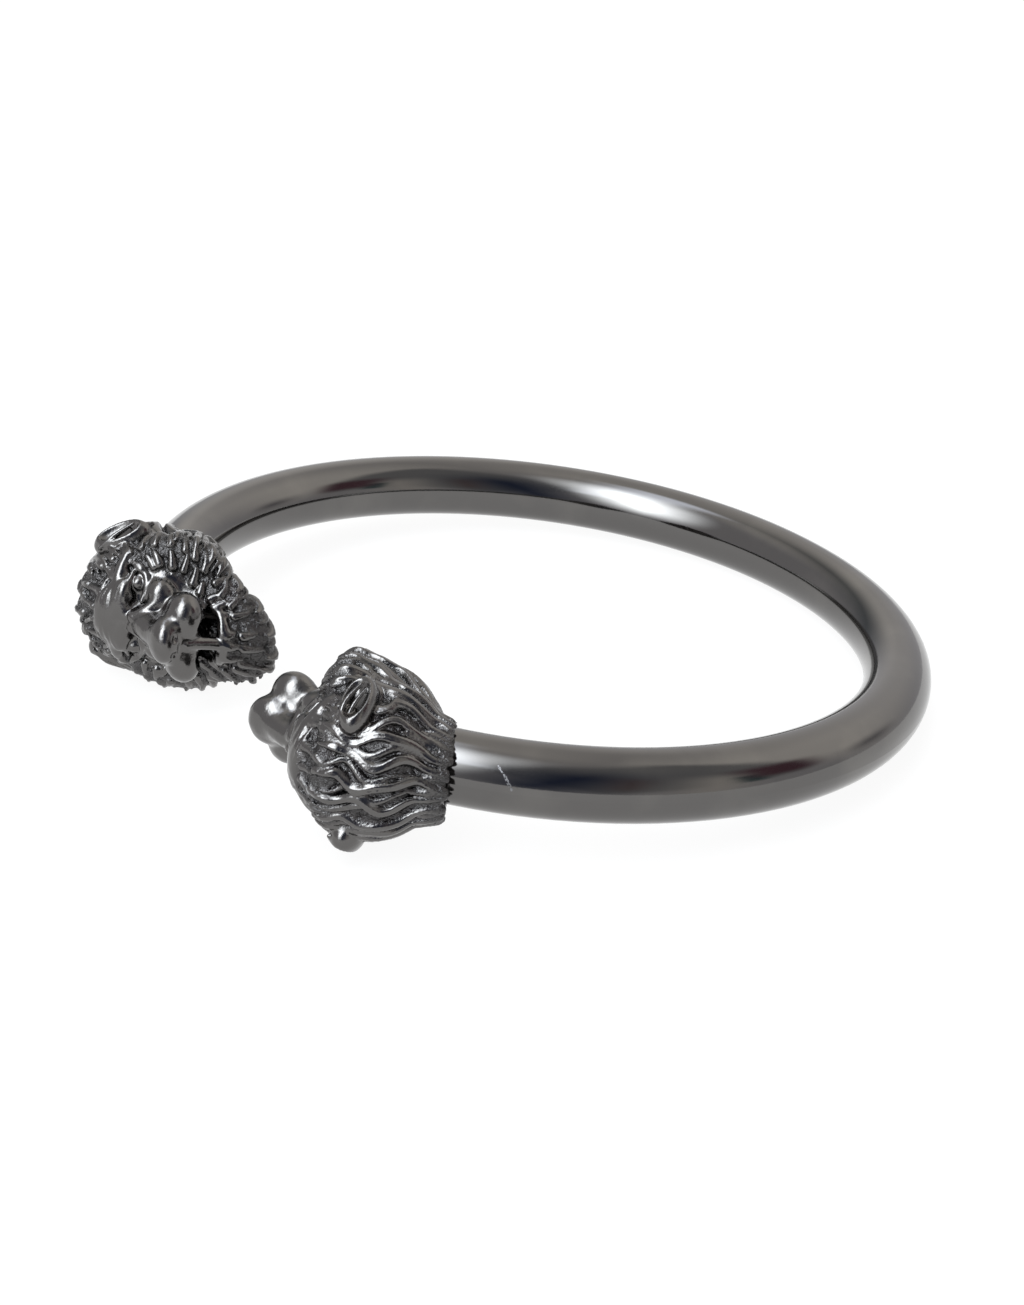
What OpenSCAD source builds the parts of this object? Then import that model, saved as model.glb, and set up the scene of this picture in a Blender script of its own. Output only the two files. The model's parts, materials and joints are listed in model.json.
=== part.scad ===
// An open cuff bangle: one round bar bent into an arc, with a cast lion's head on each end.
// The two heads look at each other across the gap. All sizes are in millimetres.
// The bangle is drawn as it lies on a flat surface: its back rests on the bar, its front on the
// two heads, which are thicker than the bar, so the ring leans by a few degrees.
// +Z is up, -X is the side of the gap, and the origin is under the middle of the whole.

/* [Bar] */
// Inner diameter of the ring
inner_d = 58.2; // [54:0.1:66]
// Diameter of the round bar
bar_d = 5.8; // [4.5:0.1:6.2]
// Half of the open angle, from the middle of the gap to the back edge of a head
half_gap = 38.75; // [36:0.25:44]

/* [Heads] */
// How far the bar's end reaches into a head, past the head's back edge
socket_depth = 3.4; // [2:0.1:4]
// Clearance between the bar and its socket, all round
socket_clearance = 0.08; // [0.06:0.01:0.15]
// How far the beard is swept to one side, as a share of the square of its length
beard_sweep = 0.016; // [0:0.001:0.02]
// Height of the mane's locks above the valleys between them
lock_height = 0.5; // [0.2:0.05:0.7]
// Number of locks around the mane
lock_count = 20; // [16:2:24]
// Width of the soft blend where two masses of the head meet
blend = 0.32; // [0.2:0.02:0.45]

/* [Hidden] */

bar_r = bar_d / 2;
ring_r = inner_d / 2 + bar_r;
head_angle = 180 - half_gap;
socket_angle = socket_depth * 180 / (PI * ring_r);
end_clearance_angle = socket_clearance * 180 / (PI * ring_r);
bar_steps = 180;
bar_sides = 48;
socket_steps = 120;
socket_sides = 28;
metal = [0.43, 0.42, 0.41];

// A head has its own frame: [forward, towards the crown, to the side], from the middle of the
// bar at the head's back edge. The crown faces away from the wrist.
// The masses of the head, blended into one form. A row with a side above 0 is there twice.
// Columns: forward, crown, side, radius forward, radius to the crown, radius to the side,
// pitch with the front end down
MASSES = [
    [0.5, 0.6, 0, 4.0, 4.2, 4.1, 0],       // neck, round the bar
    [4.6, 1.0, 0, 4.6, 5.9, 5.85, 0],      // back of the mane
    [5.6, -2.4, 0, 4.5, 4.4, 5.95, 0],     // underside of the mane
    [8.9, -4.6, 0, 2.6, 5.6, 4.85, -14],   // beard
    [7.4, 1.2, 0, 3.0, 5.8, 5.7, 0],       // skull
    [8.4, -1.6, 3.9, 1.95, 4.8, 3.15, 0],  // cheek ruff
    [9.6, 3.4, 0, 1.9, 1.9, 2.7, 0],       // forehead
    [10.6, 2.7, 1.6, 0.75, 0.6, 1.5, 0],   // brow
    [11.9, 0.2, 0, 3.3, 1.45, 1.25, 30],   // bridge of the nose
    [12.0, -2.0, 0, 2.6, 1.7, 1.8, 10],    // muzzle
    [14.4, -1.35, 0, 1.75, 1.2, 1.95, 12], // nose
    [13.05, -2.8, 2.0, 1.75, 1.5, 1.8, 10], // whisker pad
    [10.6, -0.4, 2.3, 1.2, 1.2, 1.3, 0],   // cheek bone
    [11.0, -6.4, 0, 1.9, 0.8, 1.8, 10],    // lower jaw
    [10.4, -7.5, 0, 1.8, 1.6, 2.4, 0]      // chin
];
// Hollows, with the same columns
HOLLOWS = [
    [11.5, 1.65, 2.85, 1.25, 0.75, 1.2, 0], // eye socket
    [13.0, -4.95, 1.5, 2.6, 1.2, 1.0, 12]   // open mouth, either side of the tongue
];
// What stands in the hollows, with the same columns
INSETS = [
    [10.0, 1.6, 2.85, 0.75, 0.6, 0.75, 0]   // eye
];
inset_blend = 0.12;
far_gap = 6;
least_slope = 0.001;

// Tufts that stand out of the mane, each from its root to its tip, on both sides of the head
// Columns: root forward, crown, side; tip forward, crown, side; root radius, tip radius
TUFTS = [
    [9.9, 4.9, 0.9, 8.3, 6.7, 1.3, 0.7, 0.4],
    [9.6, 4.6, 2.6, 8.1, 6.1, 3.3, 0.7, 0.4],
    [10.0, -3.3, 4.6, 8.8, -4.8, 5.7, 0.75, 0.4],
    [10.5, -5.3, 3.6, 9.4, -7.0, 4.4, 0.75, 0.4],
    [11.0, -7.4, 2.0, 9.8, -9.3, 2.2, 0.75, 0.4]
];
tuft_facets = 7;

// Ear: round lobes joined into a flap that lies across the side of the crown, and the hollow
// in its outer face. The ear stands at its place, leaning from the crown towards the side.
EAR_PLACE = [6.5, 3.6, 5.2];
ear_lean = 66;
// Columns: along the ear towards the chin, out of the head, radius
EAR_LOBES = [
    [-1.45, -0.1, 1.0],
    [0, 0.2, 1.35],
    [1.45, -0.1, 1.0]
];
EAR_HOLLOW_RADII = [0.95, 1.15, 1.7];
ear_hollow_out = 1.55;
ear_hollow_ahead = 0.3;
ear_facets = 10;

// The head's skin: rings along the mane, then a fan of rings over the face from one point
turn_forward = 8;
turn_crown = -1.5;
mane_rings = 14;
face_rings = 21;
last_face_tilt = 87;
facets_per_lock = 4;
LOCK_PROFILE = [0, 0.75, 1, 0.55];
back_edge_crown = -1.0;
back_edge_chin = 0.3;
back_edge_teeth = 0.3;
hairline_tilt = 30;
wave_angle = 5;
wave_turns = 1.3;
wave_skew = 2.5;
outside = 11;
walk_steps = 16;
walk_share = 0.85;

columns = lock_count * facets_per_lock;
half_columns = columns / 2;

function total(list) = list * [for (x = list) 1];
function flipped(m) = [m[0], m[1], -m[2], m[3], m[4], m[5], m[6]];
function both_sides(table) = [for (m = table) each m[2] > 0 ? [m, flipped(m)] : [m]];
function smooth(t) = let(u = min(1, max(0, t))) u * u * (3 - 2 * u);

ALL_MASSES = both_sides(MASSES);
ALL_HOLLOWS = both_sides(HOLLOWS);
ALL_INSETS = both_sides(INSETS);

// About how far a point is outside one ellipsoid of a table
function gap_to(p, m) =
    let(
        f = p[0] - m[0],
        c = p[1] - m[1],
        u = f * cos(m[6]) - c * sin(m[6]),
        v = f * sin(m[6]) + c * cos(m[6]),
        q = [u / m[3], v / m[4], (p[2] - m[2]) / m[5]],
        g = norm([q[0] / m[3], q[1] / m[4], q[2] / m[5]])
    )
    norm(q) * (norm(q) - 1) / max(g, least_slope);

function clipped_gap(p, m) = max(-far_gap, min(far_gap, gap_to(p, m)));
function blended(p, table, k) = -k * ln(total([for (m = table) exp(-clipped_gap(p, m) / k)]));

// About how far a point is outside the head
function head_gap(p) =
    let(
        body = blended(p, ALL_MASSES, blend),
        hollow = blended(p, ALL_HOLLOWS, inset_blend),
        inset = blended(p, ALL_INSETS, inset_blend)
    )
    min(max(body, -hollow), inset);

// Distance along a ray at which it meets the head, walking in from outside
function reach(from, way, t, steps) =
    steps == 0 ? t : reach(from, way, t - walk_share * head_gap(from + t * way), steps - 1);

// A column's angle round the head, from the crown, with the wave of its lock
function column_angle(j, v) =
    let(a = 360 * j / columns) a + wave_angle * sin(a) * sin(360 * wave_turns * v + wave_skew * a);

function back_edge(j) =
    let(a = 360 * j / columns)
    (back_edge_crown + back_edge_chin) / 2 + (back_edge_crown - back_edge_chin) / 2 * cos(a)
        - back_edge_teeth * LOCK_PROFILE[j % facets_per_lock];

// One point of the skin, for a ring i and a column j of the half from crown to chin
function skin_point(i, j) =
    let(
        on_face = i >= mane_rings,
        tilt = on_face ? last_face_tilt * (i - mane_rings) / (face_rings - 1) : 0,
        along = min(1, i / mane_rings),
        forward = back_edge(j) + (turn_forward - back_edge(j)) * along,
        a = column_angle(j, i / (mane_rings + face_rings)),
        from = [forward, turn_crown * smooth(forward / turn_forward), 0],
        way = [sin(tilt), cos(tilt) * cos(a), cos(tilt) * sin(a)],
        rise = lock_height * (LOCK_PROFILE[j % facets_per_lock] - 0.5) * (1 - smooth(tilt / hairline_tilt)),
        t = reach(from, way, outside, walk_steps) + rise
    )
    from + t * way;

HALF_SKIN = [
    for (i = [0:mane_rings + face_rings - 1]) [for (j = [0:half_columns]) skin_point(i, j)]
];

function mirrored(p) = [p[0], p[1], -p[2]];
function swept(p) = [p[0], p[1], p[2] - beard_sweep * pow(max(0, 1 - p[1]), 2)];

// The whole skin, ring after ring, then the middle of the back and the tip of the face
SKIN_POINTS = [
    for (ring = HALF_SKIN)
        each [for (j = [0:columns - 1]) swept(j <= half_columns ? ring[j] : mirrored(ring[columns - j]))],
    [back_edge_chin, 0, 0],
    swept([reach([turn_forward, turn_crown, 0], [1, 0, 0], outside, walk_steps) + turn_forward, turn_crown, 0])
];
ring_count = mane_rings + face_rings;
back_point = ring_count * columns;
tip_point = back_point + 1;
SKIN_FACES = concat(
    [
        for (i = [0:ring_count - 2], j = [0:columns - 1])
            let(k = (j + 1) % columns, a = i * columns, b = a + columns)
            each [[a + j, b + j, b + k], [a + j, b + k, a + k]]
    ],
    [for (j = [0:columns - 1]) [back_point, j, (j + 1) % columns]],
    [
        for (j = [0:columns - 1])
            let(a = (ring_count - 1) * columns) [tip_point, a + (j + 1) % columns, a + j]
    ]
);

// How the ring leans when it rests on the bar's back and on the lowest points of the heads
function in_ring_frame(p) =
    [
        ring_r * cos(head_angle) - p[0] * sin(head_angle) + p[1] * cos(head_angle),
        ring_r * sin(head_angle) + p[0] * cos(head_angle) + p[1] * sin(head_angle),
        p[2]
    ];
RING_POINTS = [for (p = SKIN_POINTS) in_ring_frame(p)];
rest_tilt = max([
    for (p = RING_POINTS) atan2(-p[2], ring_r - p[0]) - asin(bar_r / norm([ring_r - p[0], p[2]]))
]);
rest_height = ring_r * sin(rest_tilt) + bar_r;
front_reach = max([for (p = RING_POINTS) -(p[0] * cos(rest_tilt) + p[2] * sin(rest_tilt))]);
back_reach = ring_r * cos(rest_tilt) + bar_r;

module at_rest() {
    translate([(front_reach - back_reach) / 2, 0, rest_height]) rotate([0, rest_tilt, 0]) children();
}

// An arc of round bar about the ring's axis, open at the gap
module arc(radius, half_angle, steps = bar_steps, sides = bar_sides) {
    rotate([0, 0, -half_angle])
        rotate_extrude(angle = 2 * half_angle, $fn = steps)
            translate([ring_r, 0]) circle(r = radius, $fn = sides);
}

module skin() {
    polyhedron(points = SKIN_POINTS, faces = SKIN_FACES, convexity = 8);
}

module ear() {
    translate(EAR_PLACE) rotate([ear_lean, 0, 0]) {
        difference() {
            hull() {
                for (lobe = EAR_LOBES) {
                    translate([0, lobe[1], lobe[0]]) sphere(r = lobe[2], $fn = ear_facets);
                }
            }
            translate([ear_hollow_ahead, ear_hollow_out, 0]) scale(EAR_HOLLOW_RADII) sphere(r = 1, $fn = ear_facets);
        }
    }
}

module tuft(row) {
    hull() {
        translate([row[0], row[1], row[2]]) sphere(r = row[6], $fn = tuft_facets);
        translate([row[3], row[4], row[5]]) sphere(r = row[7], $fn = tuft_facets);
    }
}

// One side's ear and tufts, moved with the beard's sweep
module side_detail(side) {
    mirror([0, 0, side < 0 ? 1 : 0]) ear();
    for (row = TUFTS) {
        root = swept([row[0], row[1], side * row[2]]);
        tip = swept([row[3], row[4], side * row[5]]);
        tuft([root[0], root[1], root[2], tip[0], tip[1], tip[2], row[6], row[7]]);
    }
}

module head_form() {
    union() {
        skin();
        side_detail(1);
        side_detail(-1);
    }
}

module head_on_bar() {
    difference() {
        rotate([0, 0, -head_angle]) translate([ring_r, 0, 0]) rotate([0, 0, -90]) head_form();
        arc(bar_r + socket_clearance, head_angle + socket_angle + end_clearance_angle, socket_steps, socket_sides);
    }
}

module bar() {
    color(metal) at_rest() arc(bar_r, head_angle + socket_angle);
}

module lion_head_left() {
    color(metal) at_rest() mirror([0, 1, 0]) head_on_bar();
}

module lion_head_right() {
    color(metal) at_rest() head_on_bar();
}

bar();
lion_head_left();
lion_head_right();
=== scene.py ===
# An open cuff bangle of dark polished metal, with a cast lion's head on each end of its bar.
# The heads' relief is modelled here as a field of distances on a grid, in millimetres, and then
# meshed: the masses of the head first, then the locks of the mane, the face and the ears.
# A point of a head is given by how far it is forward, towards the crown and to the side
import json
import math

import bpy
import numpy as np
import openvdb
from mathutils import Matrix, Vector


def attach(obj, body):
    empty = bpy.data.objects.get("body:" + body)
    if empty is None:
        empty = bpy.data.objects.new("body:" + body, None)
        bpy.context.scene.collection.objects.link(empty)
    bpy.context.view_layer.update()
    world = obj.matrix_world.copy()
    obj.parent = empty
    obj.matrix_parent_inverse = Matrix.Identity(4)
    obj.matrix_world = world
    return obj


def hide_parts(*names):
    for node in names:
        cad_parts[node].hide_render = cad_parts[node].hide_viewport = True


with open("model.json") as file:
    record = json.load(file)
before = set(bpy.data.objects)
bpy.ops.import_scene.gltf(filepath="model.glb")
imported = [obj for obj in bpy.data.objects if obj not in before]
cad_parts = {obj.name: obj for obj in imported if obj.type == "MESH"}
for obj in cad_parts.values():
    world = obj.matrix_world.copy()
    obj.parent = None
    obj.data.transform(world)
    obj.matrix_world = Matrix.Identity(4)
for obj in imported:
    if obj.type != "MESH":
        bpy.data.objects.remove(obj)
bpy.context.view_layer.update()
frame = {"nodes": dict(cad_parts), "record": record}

MM = 0.001
RING_R = 32.0
BAR_R = 2.9
HALF_GAP = math.radians(38.75)

# The ring's own frame, as it lies: its middle, and its axis, which leans a little
wrist = frame["record"]["mounts"][0]
RING_CENTRE = Vector(wrist["pos_m"])
RING_AXIS = Vector(wrist["axis"]).normalized()
RING_SIDE = Vector((0.0, 1.0, 0.0))
RING_FRONT = RING_SIDE.cross(RING_AXIS)

# The masses of the head. Columns: forward, crown, side, radius forward, radius to the crown,
# radius to the side, pitch with the front end down. A row with a side above 0 is there twice
MASSES = [
    (0.5, 0.8, -0.3, 4.0, 4.2, 4.1, 0),
    (4.6, 1.0, -0.15, 4.6, 5.9, 5.95, 0),
    (5.6, -2.4, 0, 4.5, 3.75, 5.95, 0),
    (6.9, -2.2, 3.4, 2.2, 3.2, 3.1, 0),
    (6.5, 1.7, -3.95, 1.35, 2.9, 2.85, 0),
    (8.9, -4.6, -0.1, 2.6, 5.8, 4.85, -14),
    (7.4, 1.2, 0, 3.0, 5.8, 5.7, 0),
    (8.4, -1.6, 3.9, 1.8, 4.35, 3.05, 0),
    (9.6, 3.4, 0, 1.7, 1.9, 2.7, 0),
    (10.6, 2.7, 1.6, 0.75, 0.6, 1.5, 0),
    (11.9, 0.2, 0, 3.3, 1.45, 1.25, 30),
    (11.9, -2.4, 0, 2.6, 1.7, 2.75, 10),
    (14.4, -1.35, 0, 1.75, 1.2, 1.95, 12),
    (13.05, -2.8, 2.05, 1.75, 1.5, 1.85, 10),
    (10.6, -0.4, 2.3, 1.2, 1.2, 1.3, 0),
    (11.0, -6.4, 0, 1.9, 0.8, 1.8, 10),
    (10.4, -7.5, 0, 1.8, 1.6, 2.4, 0),
]
# Hollows, with the same columns
HOLLOWS = [
    (11.5, 1.65, 2.85, 1.25, 0.75, 1.2, 0),
    (13.0, -4.95, 1.5, 2.6, 1.2, 1.0, 12),
    (15.7, -2.4, 0.8, 0.6, 0.28, 0.42, 0),
]
BLEND = 0.32
INSET_BLEND = 0.12
# How far from a mass its share of the blend stops changing
BLEND_REACH = 6
LEAST_SLOPE = 0.001

# How the beard and the crown lean to the side that lies on the ground, from one height, and how
# far the face shifts that way, over a length
BEARD_SWEEP = 0.0165
CROWN_SWEEP = 0.013
SWEEP_FROM = 1
FACE_SHIFT = 0.05
FACE_SHIFT_OVER = 8

# Where the rays start that find the surface, how the face's rays tilt, and how they are followed
TURN_FORWARD = 8.0
TURN_CROWN = -1.5
TILT_PER_MM = 9.5
TILT_MOST = 88
RAY_START = 11.0
RAY_STEPS = 22
RAY_STRIDE = 0.85

# The grid
VOXEL = 0.1255
GRID_LOW = np.array((-2.2, -10.8, -8.4))
GRID_HIGH = np.array((16.4, 8.6, 8.4))
STAMP_MARGIN = 0.35
FAR_OFF = 1.0

# The ears: the place of one, and how far it leans from the crown towards the side
EAR_PLACE = np.array((6.35, 3.6, 5.2))
EAR_LEAN = math.radians(66)
EAR_AHEAD = np.array((1.0, 0.0, 0.0))
EAR_OUT = np.array((0.0, math.cos(EAR_LEAN), math.sin(EAR_LEAN)))
EAR_ALONG = np.array((0.0, -math.sin(EAR_LEAN), math.cos(EAR_LEAN)))
# The ear on the side that lies on the ground sits a little farther back and out
LOW_EAR_AHEAD = -0.25
LOW_EAR_OUT = 0.15
# How near an ear a lock is turned aside, forward and across, and by how many degrees
EAR_REACH_FORWARD = 2.0
EAR_REACH_ACROSS = 2.3
EAR_ANGLE = 56.0
EAR_PUSH = 13
EAR_PUSH_SPREAD = 50
# What sends a line that meets the ear's middle to one side of it
EAR_TIE = 0.01

# The edge of the hair. Columns: angle from the crown, millimetres behind the turn of the face
HAIRLINE = [
    (0, -1.5),
    (25, -1.6),
    (50, -1.9),
    (75, -2.3),
    (100, -2.9),
    (125, -3.5),
    (150, -4.3),
    (180, -4.8),
]

# The mane's back edge: how much farther back it is at the crown than at the sides, and how far
# the locks go past the ground there
BACK_BULGE = 0.8
LOCKS_PAST_EDGE = 0.05

# The locks: their number in each layer, where they start, as a share of the way from the turn
# of the face to the edge of the hair, and the waves of a lock's line, in degrees and
# millimetres, which grow over a length from its start
LONG_LOCKS = 27
LOCK_START = 0.5
LOCK_WAVES = ((3.4, 5.9), (1.6, 3.2))
CALM_LENGTH = 2.5
# How far the waves of neighbours are in step
COMMON_PHASE = 2.1
PHASE_SPREAD = 0.8
ANY_PHASE = 6.3
# The radius of a lock's start, where along it the tapering starts, and how uneven it is, as
# shares, and how fast its radius and the place of its strands go up and down along it
LOCK_START_RADIUS = 0.35
TAPER_FROM = 0.45
UNEVEN = 0.12
UNEVEN_PACE = 11
UNEVEN_PHASE = 5
WANDER_PACE = 9
# How deep a lock sinks towards the neck, at its thin end and at its start
NECK_SINK = 0.3
NECK_FROM = 7.0
NECK_LENGTH = 2.0
END_SINK = 0.5
START_SINK = 0.1
# The strands on a lock: their radius as a share of its own, their height over it, their wander
STRAND_RADIUS = 0.38
STRAND_RISE = 0.06
STRAND_WANDER = 0.4

# Short tufts in two rows round the face, in front of the locks. Columns: how many, how far their
# starts are behind the edge of the hair, length, radius, height of the top
TUFT_ROWS = [
    (31, 0.1, 0.85, 0.4, 0.13),
    (33, 1.25, 1.1, 0.38, 0.07),
]
TUFT_STEPS = 6
TUFT_TAPER = 0.45
TUFT_DROP = 0.2

# Fine strands over the forehead, from its middle to the ears.
# Columns: how far behind the turn at the middle and at the ear, first and last angle, radius
BROW_STRANDS = [
    (-3.5, -2.3, 10, 50, 0.16),
    (-3.05, -1.9, 7, 47, 0.19),
    (-2.6, -1.5, 9, 44, 0.17),
    (-2.15, -1.1, 5, 40, 0.18),
]
BROW_STEPS = 20
BROW_WAVE = 0.08
BROW_PACE = 7
BROW_PHASE = 5
BROW_RISE = 0.09
BROW_END_RADIUS = 0.45

# The ground between the locks: its depth, how much shallower it is on the side that lies on the
# ground, from where and over what width, and over how many degrees it fades at the hairline
GROUND_DEPTH = 0.28
GROUND_SIDE_SHALLOW = 0.6
GROUND_SIDE_FROM = 3.5
GROUND_SIDE_WIDTH = 3
HAIR_FADE_FROM = 3
HAIR_FADE = 10
# Its grain, and that of the skin. Columns: height, spacing
GRAIN = ((0.09, 0.26), (0.05, 0.5))
SKIN_GRAIN = (0.01, 0.4)

# Lines of the face. Columns of each point: forward, crown, side, radius. All are there twice
FACE_LINES = [
    [
        (11.2, 2.3, 0.3, 0.5),
        (10.7, 2.85, 1.3, 0.6),
        (10.05, 3.2, 2.6, 0.6),
        (9.3, 3.1, 3.9, 0.5),
        (8.5, 2.7, 4.9, 0.3),
    ],
    [(11.2, 1.1, 1.7, 0.2), (10.75, 0.85, 2.6, 0.27), (10.2, 0.95, 3.5, 0.24), (9.5, 1.6, 4.3, 0.15)],
    [(10.95, 2.0, 1.9, 0.15), (10.6, 2.35, 2.8, 0.22), (9.9, 2.1, 3.8, 0.15)],
    [(11.7, 1.7, 0.5, 0.42), (11.7, 0.8, 1.1, 0.42), (11.45, -0.2, 1.9, 0.5), (10.9, -0.7, 2.6, 0.5)],
    [(10.85, 3.7, 0.45, 0.2), (10.5, 4.2, 0.8, 0.26), (10.1, 4.8, 1.0, 0.2)],
    [(14.4, -3.2, 0, 0.35), (13.5, -4.1, 0, 0.5), (12.8, -5.1, 0, 0.55), (12.5, -5.9, 0, 0.5)],
    [(12.4, -6.0, 0.0, 0.6), (12.1, -5.9, 1.2, 0.55), (11.4, -5.5, 2.1, 0.4), (10.8, -4.8, 2.6, 0.2)],
]
# Balls of the face, the eyes and the nostrils' wings, with the same columns. Each is a chain of
# almost no length
FACE_BALLS = [(10.1, 1.6, 2.85, 0.6), (14.35, -2.0, 1.2, 0.75)]
BALL_LENGTH = 0.01

# An ear: a flap that opens forward and outward, and the cup in it.
# Columns: ahead, out, along, radius ahead, radius out, radius along
EAR_FLAP = (0.0, 0.05, 0.0, 1.35, 1.5, 2.5)
EAR_CUP = (0.35, 1.35, 0.0, 1.05, 1.2, 1.9)
# Strands in the ear and in front of it, and its tip. Columns of each point: ahead, out, along,
# radius
EAR_STRANDS = [
    [(1.0, 0.2, -1.9, 0.16), (0.85, 0.75, -0.4, 0.22), (0.1, 1.0, 1.3, 0.16)],
    [(0.5, 0.1, -1.6, 0.14), (0.25, 0.5, -0.3, 0.2), (-0.25, 0.8, 1.0, 0.12)],
    [(2.2, -1.05, -0.9, 0.2), (1.95, -0.7, 0.0, 0.27), (1.4, -0.3, 0.9, 0.14)],
    [(1.7, -0.65, -1.5, 0.2), (1.55, -0.35, -0.5, 0.27), (1.15, 0.05, 0.5, 0.14)],
    [(-0.2, 0.2, 1.3, 0.5), (-0.25, 0.35, 2.1, 0.35), (-0.35, 0.35, 2.7, 0.2)],
]

# How softly the layers run into each other
LOCK_BLEND = 0.09
FACE_BLEND = 0.3
EAR_BLEND = 0.12
CUP_BLEND = 0.2

# The socket for the bar: its clearance and depth, and how much wider its mouth is
SOCKET_GAP = 0.06
SOCKET_DEPTH = 3.46
MOUTH_EXTRA = 0.5
MOUTH_FROM = 0.7
MOUTH_LENGTH = 1.6


def both_sides(rows):
    return [r for m in rows for r in ([m, (*m[:2], -m[2], *m[3:])] if m[2] > 0 else [m])]


ALL_MASSES = both_sides(MASSES)
ALL_HOLLOWS = both_sides(HOLLOWS)


def smooth(t):
    u = np.clip(t, 0, 1)
    return u * u * (3 - 2 * u)


def smooth_min(a, b, k):
    h = np.maximum(k - np.abs(a - b), 0) / k
    return np.minimum(a, b) - h * h * k / 4


def gap_to(f, c, s, m):
    """About how far points are outside one ellipsoid of a table."""
    forward, crown, side, rf, rc, rs, pitch = m
    cp = math.cos(math.radians(pitch))
    sp = math.sin(math.radians(pitch))
    u = ((f - forward) * cp - (c - crown) * sp) / rf
    v = ((f - forward) * sp + (c - crown) * cp) / rc
    w = (s - side) / rs
    size = np.sqrt(u * u + v * v + w * w)
    slope = np.sqrt(u * u / rf**2 + v * v / rc**2 + w * w / rs**2)
    return size * (size - 1) / np.maximum(slope, LEAST_SLOPE)


def blended(f, c, s, rows, k):
    total = 0.0
    for m in rows:
        total = total + np.exp(-np.clip(gap_to(f, c, s, m), -BLEND_REACH, BLEND_REACH) / k)
    return -k * np.log(total)


def base_gap(f, c, s):
    """About how far points are outside the masses, with their hollows."""
    body = blended(f, c, s, ALL_MASSES, BLEND)
    hollow = blended(f, c, s, ALL_HOLLOWS, INSET_BLEND)
    return np.maximum(body, -hollow)


def sweep(forward, crown):
    """How far the beard, the crown and the face lean to the side that lies on the ground."""
    beard = BEARD_SWEEP * np.maximum(0, SWEEP_FROM - crown) ** 2
    top = CROWN_SWEEP * np.maximum(0, crown - SWEEP_FROM) ** 2
    return beard + top + FACE_SHIFT * smooth(forward / FACE_SHIFT_OVER)


def surface(angle, back):
    """Points of the head's surface, and the ways they face, for angles round the head from the
    crown in degrees, and millimetres behind the turn of the face, less than 0 on the face."""
    angle = np.radians(np.asarray(angle, float))
    back = np.asarray(back, float)
    tilt = np.radians(np.clip(-back * TILT_PER_MM, 0, TILT_MOST))
    forward = TURN_FORWARD - np.maximum(back, 0)
    crown = TURN_CROWN * smooth(forward / TURN_FORWARD)
    start = np.stack([forward, crown, 0 * forward], -1)
    way = np.stack([np.sin(tilt), np.cos(tilt) * np.cos(angle), np.cos(tilt) * np.sin(angle)], -1)
    t = np.full(angle.shape, RAY_START)
    for _ in range(RAY_STEPS):
        p = start + t[..., None] * way
        t = t - RAY_STRIDE * base_gap(p[..., 0], p[..., 1], p[..., 2])
    return start + t[..., None] * way, way


axes = [np.arange(lo, hi, VOXEL, dtype=np.float32) for lo, hi in zip(GRID_LOW, GRID_HIGH)]
GRID_SHAPE = tuple(len(a) for a in axes)
F = axes[0][:, None, None]
C = axes[1][None, :, None]
S = axes[2][None, None, :]


def empty_field():
    return np.full(GRID_SHAPE, FAR_OFF, np.float32)


def stamp(field, points, radii):
    """Adds a chain of round cones to a field."""
    for a, b, ra, rb in zip(points[:-1], points[1:], radii[:-1], radii[1:]):
        out = max(ra, rb) + STAMP_MARGIN
        lo = np.maximum(np.floor((np.minimum(a, b) - out - GRID_LOW) / VOXEL).astype(int), 0)
        hi = np.ceil((np.maximum(a, b) + out - GRID_LOW) / VOXEL).astype(int) + 1
        part = tuple(slice(x, max(x, y)) for x, y in zip(lo, hi))
        f = axes[0][part[0]][:, None, None] - a[0]
        c = axes[1][part[1]][None, :, None] - a[1]
        s = axes[2][part[2]][None, None, :] - a[2]
        d = b - a
        t = np.clip((f * d[0] + c * d[1] + s * d[2]) / max(float(d @ d), 1e-9), 0, 1)
        gap = np.sqrt((f - t * d[0]) ** 2 + (c - t * d[1]) ** 2 + (s - t * d[2]) ** 2)
        field[part] = np.minimum(field[part], gap - (ra + t * (rb - ra)))


def curve(points, steps=5):
    """A smooth line through a few points, each with its radius as the last number."""
    p = np.array(points, float)
    p = np.vstack([2 * p[0] - p[1], p, 2 * p[-1] - p[-2]])
    out = []
    for i in range(1, len(p) - 2):
        a, b, c, d = p[i - 1 : i + 3]
        for t in np.linspace(0, 1, steps, endpoint=False):
            first = (c - a) * t
            second = (2 * a - 5 * b + 4 * c - d) * t**2
            third = (3 * b - a - 3 * c + d) * t**3
            out.append(0.5 * (2 * b + first + second + third))
    out.append(p[-2])
    return np.array(out)


def stamp_curve(field, points):
    line = curve(points)
    stamp(field, line[:, :3], line[:, 3])


rng = np.random.default_rng(7)


def noise(spacing):
    """Smooth random values on the grid, from a coarser grid of random numbers."""
    counts = [int((len(a) * VOXEL) / spacing) + 3 for a in axes]
    values = rng.standard_normal(counts).astype(np.float32)
    for axis, a in enumerate(axes):
        place = (a - a[0]) / spacing
        low = np.floor(place).astype(int)
        shape = [1, 1, 1]
        shape[axis] = len(a)
        share = smooth(place - low).astype(np.float32).reshape(shape)
        values = np.take(values, low, axis) * (1 - share) + np.take(values, low + 1, axis) * share
    return values


def hairline(angle):
    """How far behind the turn of the face the hair starts, less than 0 on the face."""
    from_crown = abs((angle + 180) % 360 - 180)
    return float(np.interp(from_crown, *np.transpose(HAIRLINE)))


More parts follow.
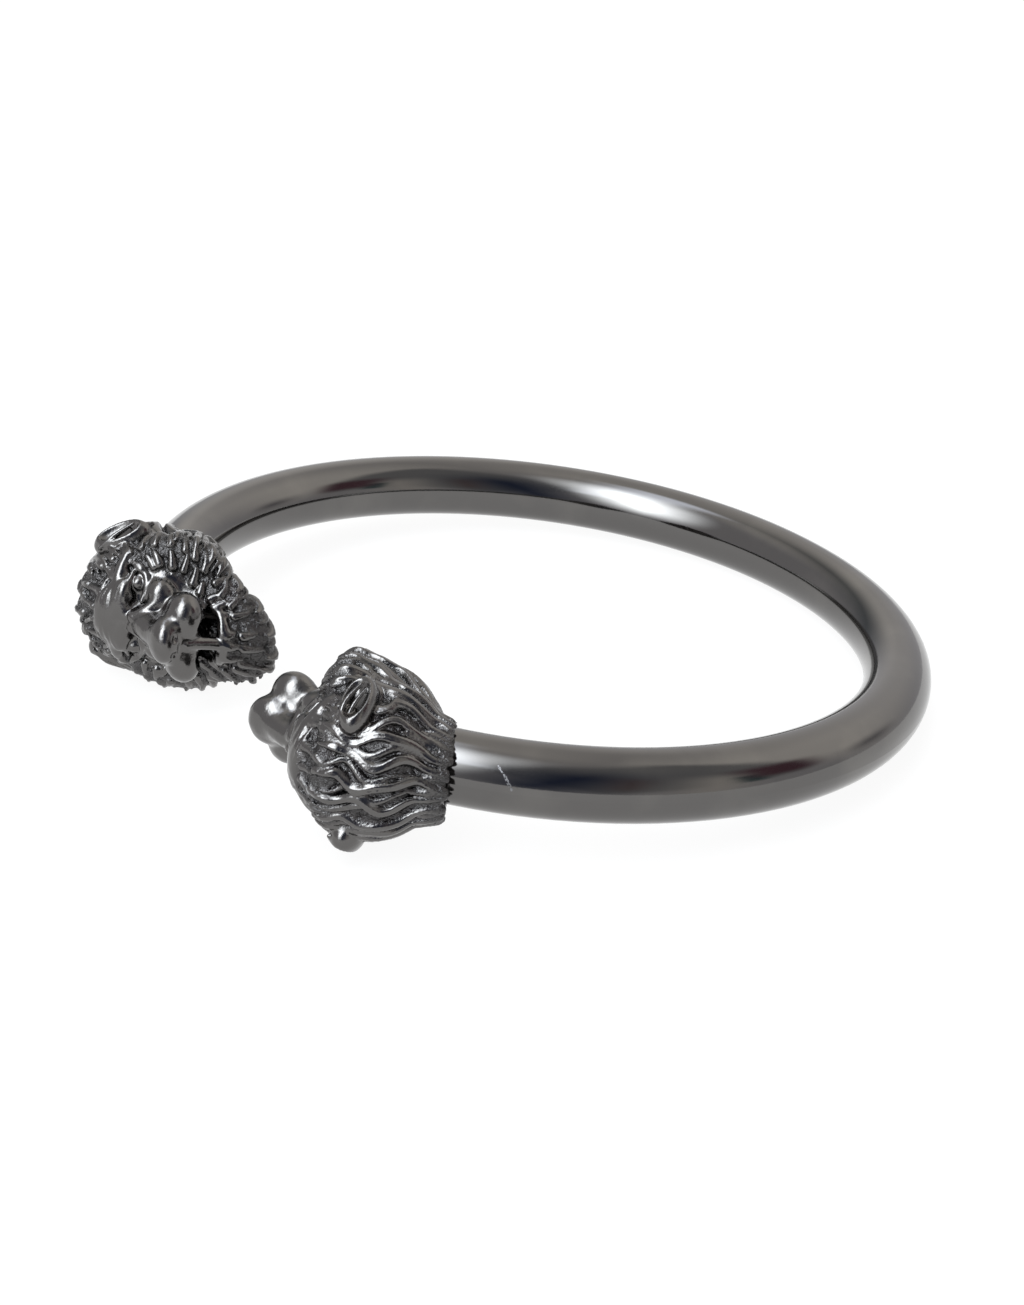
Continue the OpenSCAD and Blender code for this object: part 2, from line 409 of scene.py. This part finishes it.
def ear_point(ahead, out, along, side):
    if side < 0:
        ahead = ahead + LOW_EAR_AHEAD
        out = out + LOW_EAR_OUT
    p = EAR_PLACE + ahead * EAR_AHEAD + out * EAR_OUT + along * EAR_ALONG
    return np.array((p[0], p[1], side * p[2]))


def push_from_ears(angle, points):
    """Turns a lock's line aside where it would run through an ear."""
    for side in (-1, 1):
        away = points - ear_point(0, 0, 0, side)
        forward = (away[:, 0] / EAR_REACH_FORWARD) ** 2
        across = (np.linalg.norm(away[:, 1:], axis=1) / EAR_REACH_ACROSS) ** 2
        near = np.exp(-forward - across)
        turn = (angle - side * EAR_ANGLE + 180) % 360 - 180
        push = near * EAR_PUSH * np.sign(turn + EAR_TIE) * np.exp(-np.abs(turn) / EAR_PUSH_SPREAD)
        angle = angle + push
    return angle


def lock_line(angle, start, end, phases, drift, steps):
    """A wavy line over the head, from start to end behind the turn of the face."""
    t = np.linspace(0, 1, steps)
    back = start + (end - start) * t
    swing = 0.0
    for (size, length), phase in zip(LOCK_WAVES, phases):
        swing = swing + size * np.sin(2 * np.pi * back / length + phase)
    angles = angle + swing * smooth((back - start) / CALM_LENGTH) + drift * t
    points, _ = surface(angles, back)
    angles = push_from_ears(angles, points)
    points, way = surface(angles, back)
    return points, way, t, angles


cords = empty_field()


def lay_lock(angle, start, end, thick, top, front_share, back_share, drift, steps, strands=()):
    """One lock: a ridge with its top at a height over the masses, thinner at its two ends.
    front_share is the share of its length over which it swells, and back_share the share of its
    radius that it loses. strands are finer ridges along it, by how many degrees to its side."""
    common = COMMON_PHASE * math.sin(math.radians(angle * 2))
    phases = (common + rng.uniform(-PHASE_SPREAD, PHASE_SPREAD), rng.uniform(0, ANY_PHASE))
    points, way, t, lock_angles = lock_line(angle, start, end, phases, drift, steps)
    swell = LOCK_START_RADIUS + (1 - LOCK_START_RADIUS) * smooth(t / front_share)
    taper = 1 - back_share * smooth((t - TAPER_FROM) / (1 - TAPER_FROM))
    uneven = 1 + UNEVEN * np.sin(UNEVEN_PHASE * phases[1] + UNEVEN_PACE * t)
    radius = thick * swell * taper * uneven
    back = start + (end - start) * t
    neck = NECK_SINK * smooth((back - NECK_FROM) / NECK_LENGTH)
    sink = neck + END_SINK * (1 - taper) + START_SINK * (1 - smooth(t / front_share))
    rise = top - sink - radius
    stamp(cords, points + rise[:, None] * way, radius)
    for turn in strands:
        wander = 1 - STRAND_WANDER + STRAND_WANDER * np.sin(WANDER_PACE * t + turn)
        points, way = surface(lock_angles + turn * swell * wander, back)
        strand = radius * STRAND_RADIUS
        rise = top + STRAND_RISE - sink - strand
        stamp(cords, points + rise[:, None] * way, strand)


def back_edge(angle):
    """How far behind the turn of the face the locks end."""
    return TURN_FORWARD + LOCKS_PAST_EDGE + BACK_BULGE * math.cos(math.radians(angle))


def jitter(spread):
    return rng.uniform(-spread, spread)


def angle_of(place, spread, count):
    """The angle of one of a number of places round the head, moved a little at random."""
    return 360 * (place + jitter(spread)) / count


# Long locks, from the face to the back edge
for i in range(LONG_LOCKS):
    angle = angle_of(i + 0.5, 0.2, LONG_LOCKS)
    start = hairline(angle) * LOCK_START + rng.uniform(-0.4, 0.6)
    end = back_edge(angle) + rng.uniform(-0.2, 0.1)
    lay_lock(
        angle,
        start,
        end,
        thick=rng.uniform(0.38, 0.48),
        top=0.18,
        front_share=0.16,
        back_share=0.15,
        drift=jitter(3),
        steps=36,
        strands=(-1.9, 1.7),
    )

# Lower locks between the long ones, some of them the whole way
for i in range(LONG_LOCKS):
    angle = angle_of(i + 1.0, 0.15, LONG_LOCKS)
    start = hairline(angle) * LOCK_START + rng.uniform(-0.2, 0.8)
    end = min(start + rng.uniform(4.5, 11.0), back_edge(angle) - 0.2)
    lay_lock(
        angle,
        start,
        end,
        thick=rng.uniform(0.28, 0.36),
        top=0.08,
        front_share=0.3,
        back_share=0.6,
        drift=jitter(5),
        steps=30,
    )

# Short locks at the back edge, two of every three places
for i in range(LONG_LOCKS):
    angle = angle_of(i + 1.0, 0.25, LONG_LOCKS)
    end = back_edge(angle) + jitter(0.1)
    length = rng.uniform(1.8, 4.2)
    if i % 3 != 1:
        lay_lock(
            angle,
            end - length,
            end,
            thick=rng.uniform(0.26, 0.38),
            top=0.1,
            front_share=0.5,
            back_share=0.1,
            drift=jitter(5),
            steps=16,
        )

for count, behind, length, thick, top in TUFT_ROWS:
    for i in range(count):
        angle = angle_of(i + 0.5, 0.25, count)
        start = hairline(angle) + behind + jitter(0.2)
        end = start + length * rng.uniform(0.8, 1.2)
        drift = jitter(5)
        points, way, t, _ = lock_line(angle, start, end, (0, 0), drift, TUFT_STEPS)
        radius = thick * rng.uniform(0.85, 1.15) * (1 - TUFT_TAPER * t)
        rise = top - TUFT_DROP * t - radius
        stamp(cords, points + rise[:, None] * way, radius)

for middle, outer, first, last, thick in BROW_STRANDS:
    for side in (-1, 1):
        t = np.linspace(0, 1, BROW_STEPS)
        arch = np.sin(np.pi * t)
        wave = BROW_WAVE * np.sin(BROW_PACE * t + BROW_PHASE * middle + side)
        angles = side * (first + (last - first) * t)
        points, way = surface(angles, middle + (outer - middle) * t + wave)
        radius = thick * (BROW_END_RADIUS + (1 - BROW_END_RADIUS) * arch)
        stamp(cords, points + (BROW_RISE * arch - radius)[:, None] * way, radius)

# The ground of the mane: the masses, sunk and grained where there is hair
base = base_gap(F, C, S).astype(np.float32)
tilt = np.degrees(np.arctan2(F - TURN_FORWARD, np.sqrt((C - TURN_CROWN) ** 2 + S**2)))
around = np.abs(np.degrees(np.arctan2(S, C - TURN_CROWN))) + 0 * F
line_angle = np.arange(0, 181, 5)
line_tilt = [-TILT_PER_MM * hairline(a) for a in line_angle]
past_line = tilt - np.interp(around, line_angle, line_tilt)
hair = 1 - smooth((past_line + HAIR_FADE_FROM) / HAIR_FADE)
shallow = 1 - GROUND_SIDE_SHALLOW * smooth((-S - GROUND_SIDE_FROM) / GROUND_SIDE_WIDTH)
grain = sum(size * noise(spacing) for size, spacing in GRAIN)
skin = SKIN_GRAIN[0] * noise(SKIN_GRAIN[1])
ground = base + hair * shallow * (GROUND_DEPTH + grain) + (1 - hair) * skin

# The face
face = empty_field()
for row in FACE_LINES:
    for side in (-1, 1):
        stamp_curve(face, [(f, c, side * s, r) for f, c, s, r in row])
for f, c, s, r in FACE_BALLS:
    for side in (-1, 1):
        ends = np.array([(f, c, side * s), (f, c, side * s + BALL_LENGTH)])
        stamp(face, ends, (r, r))


def ear_gap(row, side):
    """About how far the grid's points are outside one ellipsoid set in an ear's own directions."""
    ahead = F - EAR_PLACE[0] - row[0] - LOW_EAR_AHEAD * (side < 0)
    crown = C - EAR_PLACE[1]
    across = side * S - EAR_PLACE[2]
    out = crown * EAR_OUT[1] + across * EAR_OUT[2] - row[1] - LOW_EAR_OUT * (side < 0)
    along = crown * EAR_ALONG[1] + across * EAR_ALONG[2] - row[2]
    u, v, w = ahead / row[3], out / row[4], along / row[5]
    size = np.sqrt(u * u + v * v + w * w)
    slope = np.sqrt((u / row[3]) ** 2 + (v / row[4]) ** 2 + (w / row[5]) ** 2)
    return size * (size - 1) / np.maximum(slope, LEAST_SLOPE)


# The ears
ears = empty_field()
cups = empty_field()
for side in (-1, 1):
    ears = np.minimum(ears, ear_gap(EAR_FLAP, side))
    cups = np.minimum(cups, ear_gap(EAR_CUP, side))
ears = -smooth_min(-ears, cups, CUP_BLEND).astype(np.float32)
for side in (-1, 1):
    for row in EAR_STRANDS:
        stamp_curve(ears, [(*ear_point(*p[:3], side), p[3]) for p in row])

# The ragged back edge: the ground stops a little before the locks do
ground = np.maximum(ground, -BACK_BULGE * np.cos(np.radians(around)) - F)
body = smooth_min(ground, cords, LOCK_BLEND)
body = smooth_min(body, face, FACE_BLEND)
body = smooth_min(body, ears, EAR_BLEND)

swept = S - sweep(F, C)
from_axis = np.sqrt((np.sqrt(F**2 + (C + RING_R) ** 2) - RING_R) ** 2 + swept**2)
mouth = MOUTH_EXTRA * np.clip((MOUTH_FROM - F) / MOUTH_LENGTH, 0, 1)
socket = np.maximum(from_axis - (BAR_R + SOCKET_GAP + mouth), F - SOCKET_DEPTH)
body = np.maximum(body, -socket).astype(np.float32)

grid = openvdb.FloatGrid()
grid.copyFromArray(body)
vertices, quads = grid.convertToQuads(isovalue=0.0)


def in_main_body(count, quads):
    """Which points are in the mesh's largest connected part. Pockets and loose grains aren't."""
    start = quads[:, :3].ravel().astype(int)
    end = quads[:, 1:].ravel().astype(int)
    label = np.arange(count)
    while True:
        least = np.minimum(label[start], label[end])
        lower = label.copy()
        np.minimum.at(lower, start, least)
        np.minimum.at(lower, end, least)
        lower = lower[lower]
        if np.array_equal(lower, label):
            return label == np.bincount(label).argmax()
        label = lower


kept = in_main_body(len(vertices), quads)
quads = (np.cumsum(kept) - 1)[quads[kept[quads[:, 0]]]]
vertices = vertices[kept]
print("each head has", len(vertices), "points and", 2 * len(quads), "triangles")

# What the material needs at each point: its height over the masses, and how much hair is there
spot = tuple(np.clip(np.round(vertices).astype(int), 0, np.array(GRID_SHAPE) - 1).T)
point_values = {"height": base[spot], "hair": hair[spot]}

local = GRID_LOW + vertices * VOXEL
local[:, 2] -= sweep(local[:, 0], local[:, 1])


def to_world(local_points, side):
    """Head points in the row frame, in metres. side is -1 for the right head, 1 for the left."""
    turn = side * (math.pi - HALF_GAP)
    out = np.array((math.cos(turn), math.sin(turn), 0))
    ahead = side * np.array((-math.sin(turn), math.cos(turn), 0))
    up = np.array((0, 0, 1.0))
    ring = RING_R * out + local_points @ np.array((ahead, out, up))
    to_row = np.array([RING_FRONT, RING_SIDE, RING_AXIS])
    return ring * MM @ to_row + np.array(RING_CENTRE)


def add_object(name, data):
    added = bpy.data.objects.new(name, data)
    bpy.context.scene.collection.objects.link(added)
    return added


def head_piece(name, side):
    mesh = bpy.data.meshes.new(name)
    faces = quads[:, ::-1] if side < 0 else quads
    mesh.from_pydata(to_world(local, side).tolist(), [], faces.tolist())
    mesh.polygons.foreach_set("use_smooth", [True] * len(mesh.polygons))
    for label, values in point_values.items():
        attribute = mesh.attributes.new(label, "FLOAT", "POINT")
        attribute.data.foreach_set("value", values.astype(np.float32))
    mesh.validate()
    return add_object(name, mesh)


right_head = head_piece("lion_head_right_relief", -1)
left_head = head_piece("lion_head_left_relief", 1)


# Materials. Their patterns are set out in millimetres
def new_material(name):
    material = bpy.data.materials.new(name)
    material.use_nodes = True
    tree = material.node_tree
    tree.nodes.clear()
    output = tree.nodes.new("ShaderNodeOutputMaterial")
    shader = tree.nodes.new("ShaderNodeBsdfPrincipled")
    tree.links.new(shader.outputs["BSDF"], output.inputs["Surface"])
    return material, tree, shader


def put(tree, value, socket):
    if isinstance(value, bpy.types.NodeSocket):
        tree.links.new(value, socket)
    else:
        socket.default_value = value


def noise_node(tree, place, per_mm, detail, stretch=(1, 1, 1)):
    """Values round 0.5 that change over about a millimetre divided by per_mm."""
    mapping = tree.nodes.new("ShaderNodeMapping")
    mapping.inputs["Scale"].default_value = [x / MM for x in stretch]
    tree.links.new(place, mapping.inputs["Vector"])
    texture = tree.nodes.new("ShaderNodeTexNoise")
    texture.inputs["Scale"].default_value = per_mm
    texture.inputs["Detail"].default_value = detail
    tree.links.new(mapping.outputs["Vector"], texture.inputs["Vector"])
    return texture.outputs["Fac"]


def ranged(tree, value, low, high, to_low, to_high, between="LINEAR"):
    """A value between two limits, moved to lie between two others."""
    node = tree.nodes.new("ShaderNodeMapRange")
    node.interpolation_type = between
    put(tree, value, node.inputs["Value"])
    node.inputs["From Min"].default_value = low
    node.inputs["From Max"].default_value = high
    put(tree, to_low, node.inputs["To Min"])
    put(tree, to_high, node.inputs["To Max"])
    return node.outputs["Result"]


def calculated(tree, operation, *values):
    node = tree.nodes.new("ShaderNodeMath")
    node.operation = operation
    for value, socket in zip(values, node.inputs):
        put(tree, value, socket)
    return node.outputs[0]


def of_vectors(tree, operation, *values):
    node = tree.nodes.new("ShaderNodeVectorMath")
    node.operation = operation
    for value, socket in zip(values, node.inputs):
        put(tree, value, socket)
    return node.outputs["Value" if operation in ("DOT_PRODUCT", "DISTANCE") else "Vector"]


def mixed(tree, share, a, b):
    node = tree.nodes.new("ShaderNodeMix")
    node.data_type = "RGBA"
    tree.links.new(share, node.inputs["Factor"])
    put(tree, a, node.inputs[6])
    put(tree, b, node.inputs[7])
    return node.outputs[2]


def along_line(tree, place, start, end, half_width):
    """1 along a short straight line, and 0 away from it. The line's ends are in metres."""
    span = end - start
    from_start = of_vectors(tree, "SUBTRACT", place, start)
    share = of_vectors(tree, "DOT_PRODUCT", from_start, span / span.length_squared)
    share = ranged(tree, share, 0.0, 1.0, 0.0, 1.0)
    foot = of_vectors(tree, "MULTIPLY_ADD", share, span, start)
    gap = of_vectors(tree, "DISTANCE", place, foot)
    return ranged(tree, gap, half_width, half_width * SCUFF_CORE, 0.0, 1.0)


def bumped(tree, shader, height, strength, depth):
    node = tree.nodes.new("ShaderNodeBump")
    node.inputs["Distance"].default_value = depth
    put(tree, strength, node.inputs["Strength"])
    tree.links.new(height, node.inputs["Height"])
    tree.links.new(node.outputs["Normal"], shader.inputs["Normal"])


GUNMETAL = (0.128, 0.124, 0.121, 1)
GUNMETAL_WORN = (0.15, 0.145, 0.139, 1)
# The next colour is painted shade: the heads' sunk ground between the locks takes it where the relief
# is low
GUNMETAL_PAINTED_SHADE = (0.075, 0.073, 0.073, 1)
SCUFFED = (0.24, 0.24, 0.25, 1)

# Scuffs on the bar where it meets the right head. Columns: the two ends, in millimetres from the
# middle of the ring, and the half width. Within a share of that, a scuff is at full strength
SCUFFS = [
    ((-23.66, -24.6, 3.6), (-23.5, -25.3, 2.95), 0.1),
    ((-23.5, -25.3, 2.95), (-23.33, -25.85, 2.1), 0.18),
]
SCUFF_CORE = 0.3

# Between which values each pattern of the bar goes from none of it to all
CLOUD_RANGE = (0.3, 0.7)
WEAR_RANGE = (0.5, 0.72)
MARK_RANGE = (0.5, 0.75)
FLECK_RANGE = (0.42, 0.55)

# Roughness of the bar's clouds, least and most, what the wheel's marks and the scuffs add, and
# how deep the marks look
CLOUD_ROUGHNESS = (0.07, 0.11)
MARK_ROUGHNESS = 0.05
SCUFF_ROUGHNESS = 0.45
MARK_BUMP = 0.05
MARK_DEPTH = 0.01

# The heights between which a head goes from ground, darkened with painted shade, to polished top, the
# roughness of the two, and how deep the pores look on them
RAISED_RANGE = (-0.15, 0.08)
GROUND_ROUGHNESS = 0.25
POLISHED_ROUGHNESS = (0.12, 0.2)
GROUND_BUMP = 0.9
POLISHED_BUMP = 0.12
PORE_DEPTH = 0.14

# The bar: a mirror polish with faint clouds, fine marks of the polishing wheel and some wear
bar_metal, tree, shader = new_material("bar_gunmetal")
shader.inputs["Metallic"].default_value = 1.0
place = tree.nodes.new("ShaderNodeTexCoord").outputs["Object"]
clouds = noise_node(tree, place, per_mm=0.16, detail=3)
marks = noise_node(tree, place, per_mm=3.0, detail=4, stretch=(1, 1, 4))
flecks = ranged(tree, noise_node(tree, place, per_mm=7.0, detail=2), *FLECK_RANGE, 0.0, 1.0)
wear = ranged(tree, clouds, *WEAR_RANGE, 0.0, 1.0)
plating = mixed(tree, wear, GUNMETAL, GUNMETAL_WORN)
cloudy = ranged(tree, clouds, *CLOUD_RANGE, *CLOUD_ROUGHNESS)
marked = ranged(tree, marks, *MARK_RANGE, 0.0, MARK_ROUGHNESS)
rough = calculated(tree, "ADD", cloudy, marked)
for start, end, half_width in SCUFFS:
    ends = (RING_CENTRE + Vector(x) * MM for x in (start, end))
    scuff = calculated(tree, "MULTIPLY", along_line(tree, place, *ends, half_width * MM), flecks)
    plating = mixed(tree, scuff, plating, SCUFFED)
    rough = calculated(tree, "ADD", rough, ranged(tree, scuff, 0.0, 1.0, 0.0, SCUFF_ROUGHNESS))
tree.links.new(plating, shader.inputs["Base Color"])
tree.links.new(rough, shader.inputs["Roughness"])
bumped(tree, shader, marks, MARK_BUMP, MARK_DEPTH * MM)
bar = frame["nodes"]["bar"]
bar.data.materials.clear()
bar.data.materials.append(bar_metal)


def point_value(tree, label):
    node = tree.nodes.new("ShaderNodeAttribute")
    node.attribute_name = label
    return node.outputs["Fac"]


# The heads: the tops of the relief are polished, and the ground is grained and darkened with painted
# shade in its recesses
head_metal, tree, shader = new_material("head_gunmetal")
shader.inputs["Metallic"].default_value = 1.0
place = tree.nodes.new("ShaderNodeTexCoord").outputs["Object"]
raised = ranged(tree, point_value(tree, "height"), *RAISED_RANGE, 0.0, 1.0)
bald = calculated(tree, "SUBTRACT", 1.0, point_value(tree, "hair"))
polish_and_unshaded = calculated(tree, "MAXIMUM", raised, bald)
clouds = noise_node(tree, place, per_mm=0.5, detail=3)
pores = noise_node(tree, place, per_mm=6.0, detail=3)
polished = ranged(tree, clouds, *CLOUD_RANGE, *POLISHED_ROUGHNESS)
rough = ranged(tree, polish_and_unshaded, 0.0, 1.0, GROUND_ROUGHNESS, polished)
# Base colour: low ground takes the darker colour, painted shade in the recesses, and tops and bare
# skin the plain one
tree.links.new(mixed(tree, polish_and_unshaded, GUNMETAL_PAINTED_SHADE, GUNMETAL), shader.inputs["Base Color"])
tree.links.new(rough, shader.inputs["Roughness"])
pore_bump = ranged(tree, polish_and_unshaded, 0.0, 1.0, GROUND_BUMP, POLISHED_BUMP)
bumped(tree, shader, pores, pore_bump, PORE_DEPTH * MM)

for piece, node in ((right_head, "lion_head_right"), (left_head, "lion_head_left")):
    piece.data.materials.append(head_metal)
    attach(piece, "root")
    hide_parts(node)

# The floor, white enough to run into the white round it
FLOOR_HALF = 1.5
FLOOR_COLOUR = (0.06, 0.06, 0.06, 1)
FLOOR_ROUGHNESS = 0.9
FLOOR_GLOW = 0.92
floor_mesh = bpy.data.meshes.new("floor")
corners = [(x, y, 0) for x, y in ((-1, -1), (1, -1), (1, 1), (-1, 1))]
floor_mesh.from_pydata(corners, [], [(0, 1, 2, 3)])
floor_mesh.transform(Matrix.Scale(FLOOR_HALF, 4))
white, tree, shader = new_material("white_floor")
shader.inputs["Base Color"].default_value = FLOOR_COLOUR
shader.inputs["Roughness"].default_value = FLOOR_ROUGHNESS
shader.inputs["Emission Color"].default_value = (1, 1, 1, 1)
shader.inputs["Emission Strength"].default_value = FLOOR_GLOW
floor_mesh.materials.append(white)
add_object("floor", floor_mesh)

# The camera, as fitted to the photo. Its place is in millimetres from the middle of the ring,
# along its own directions
CAM_BEARING = 40.15
CAM_ELEVATION = 26.52
CAM_ROLL = 4.237
CAM_RIGHT, CAM_UP, CAM_BACK = -2.102, -3.427, 193.766
CAM_LENS = 60.6
CAM_SENSOR = 36
CAM_NEAREST = 0.01


def camera_axes(bearing, elevation, roll):
    bearing, elevation, roll = (math.radians(x) for x in (bearing, elevation, roll))
    right = Vector((math.cos(bearing), -math.sin(bearing), 0))
    ahead = Vector((math.sin(bearing), math.cos(bearing), 0)) * math.cos(elevation)
    ahead -= Vector((0, 0, math.sin(elevation)))
    up = right.cross(ahead)
    return (
        right * math.cos(roll) + up * math.sin(roll),
        up * math.cos(roll) - right * math.sin(roll),
        ahead,
    )


right, up, ahead = camera_axes(CAM_BEARING, CAM_ELEVATION, CAM_ROLL)
camera_data = bpy.data.cameras.new("camera")
camera_data.lens = CAM_LENS
camera_data.sensor_width = CAM_SENSOR
camera_data.clip_start = CAM_NEAREST
camera = add_object("camera", camera_data)
place = RING_CENTRE + (right * CAM_RIGHT + up * CAM_UP - ahead * CAM_BACK) * MM
turn = Matrix((right, up, -ahead)).transposed().to_4x4()
camera.matrix_world = Matrix.Translation(place) @ turn
bpy.context.scene.camera = camera

# Light: a room of soft panels, some bright and some dark, each over those before it. Bearings are
# in degrees from straight behind the object, clockwise, as the camera stands.
# Columns: bearing, elevation, half width, half height, softness, roll, colour
ROOM = [
    (34, 55, 53, 33, 18, -5, (1.35, 1.3, 1.23)),
    (87, 75, 63, 1, 23, 2, (0.46, 0.45, 0.47)),
    (-31, 20, 8, 40, 24, 2, (0.07, 0.1, 0.12)),
    (135, 41, 37, 29, 5, -14, (0.45, 0.45, 0.46)),
    (169, 26, 13, 36, 20, 25, (0.02, 0.04, 0.11)),
    (127, 9, 7, 29, 11, 20, (1.0, 0.95, 0.89)),
    (147, 27, 1, 17, 10, 18, (0.24, 0.14, 0.13)),
    (112, 20, 4, 8, 3, 8, (0.12, 0.19, 0.2)),
    (98, 28, 10, 12, 6, 16, (0.21, 0.11, 0.14)),
    (69, 12, 8, 5, 8, 2, (0.32, 0.31, 0.33)),
    (-133, 71, 33, 7, 5, 47, (3.2, 3.4, 3.8)),
    (-142, 47, 7, 28, 20, -5, (15.6, 16.5, 17.2)),
]
ROOM_COLOUR = (0.7, 0.69, 0.71)


def direction(bearing, elevation):
    bearing = math.radians(CAM_BEARING + bearing)
    elevation = math.radians(elevation)
    flat = math.cos(elevation)
    return Vector((math.sin(bearing) * flat, math.cos(bearing) * flat, math.sin(elevation)))


def panel_mask(tree, way, bearing, elevation, half_width, half_height, soft, roll):
    """1 inside a panel of the room, as seen from its middle, and 0 outside, in degrees."""
    ahead = direction(bearing, elevation)
    level = direction(bearing + 90, 0)
    upright = level.cross(ahead)
    roll = math.radians(roll)
    right = level * math.cos(roll) + upright * math.sin(roll)
    up = upright * math.cos(roll) - level * math.sin(roll)
    x, y, z = (of_vectors(tree, "DOT_PRODUCT", way, v) for v in (right, up, ahead))
    angles = (calculated(tree, "ARCTAN2", x, z), calculated(tree, "ARCSINE", y))
    shares = []
    for angle, half in zip(angles, (half_width, half_height)):
        outer = math.radians(half + soft)
        inner = math.radians(half - soft)
        away = calculated(tree, "ABSOLUTE", angle)
        shares.append(ranged(tree, away, outer, inner, 0.0, 1.0, "SMOOTHSTEP"))
    return calculated(tree, "MULTIPLY", *shares)


world = bpy.data.worlds.new("studio")
world.use_nodes = True
tree = world.node_tree
way = tree.nodes.new("ShaderNodeTexCoord").outputs["Generated"]
colour = (*ROOM_COLOUR, 1)
for *panel, shade in ROOM:
    colour = mixed(tree, panel_mask(tree, way, *panel), colour, (*shade, 1))
tree.links.new(colour, tree.nodes["Background"].inputs["Color"])
bpy.context.scene.world = world
bpy.context.scene.view_settings.view_transform = "Standard"
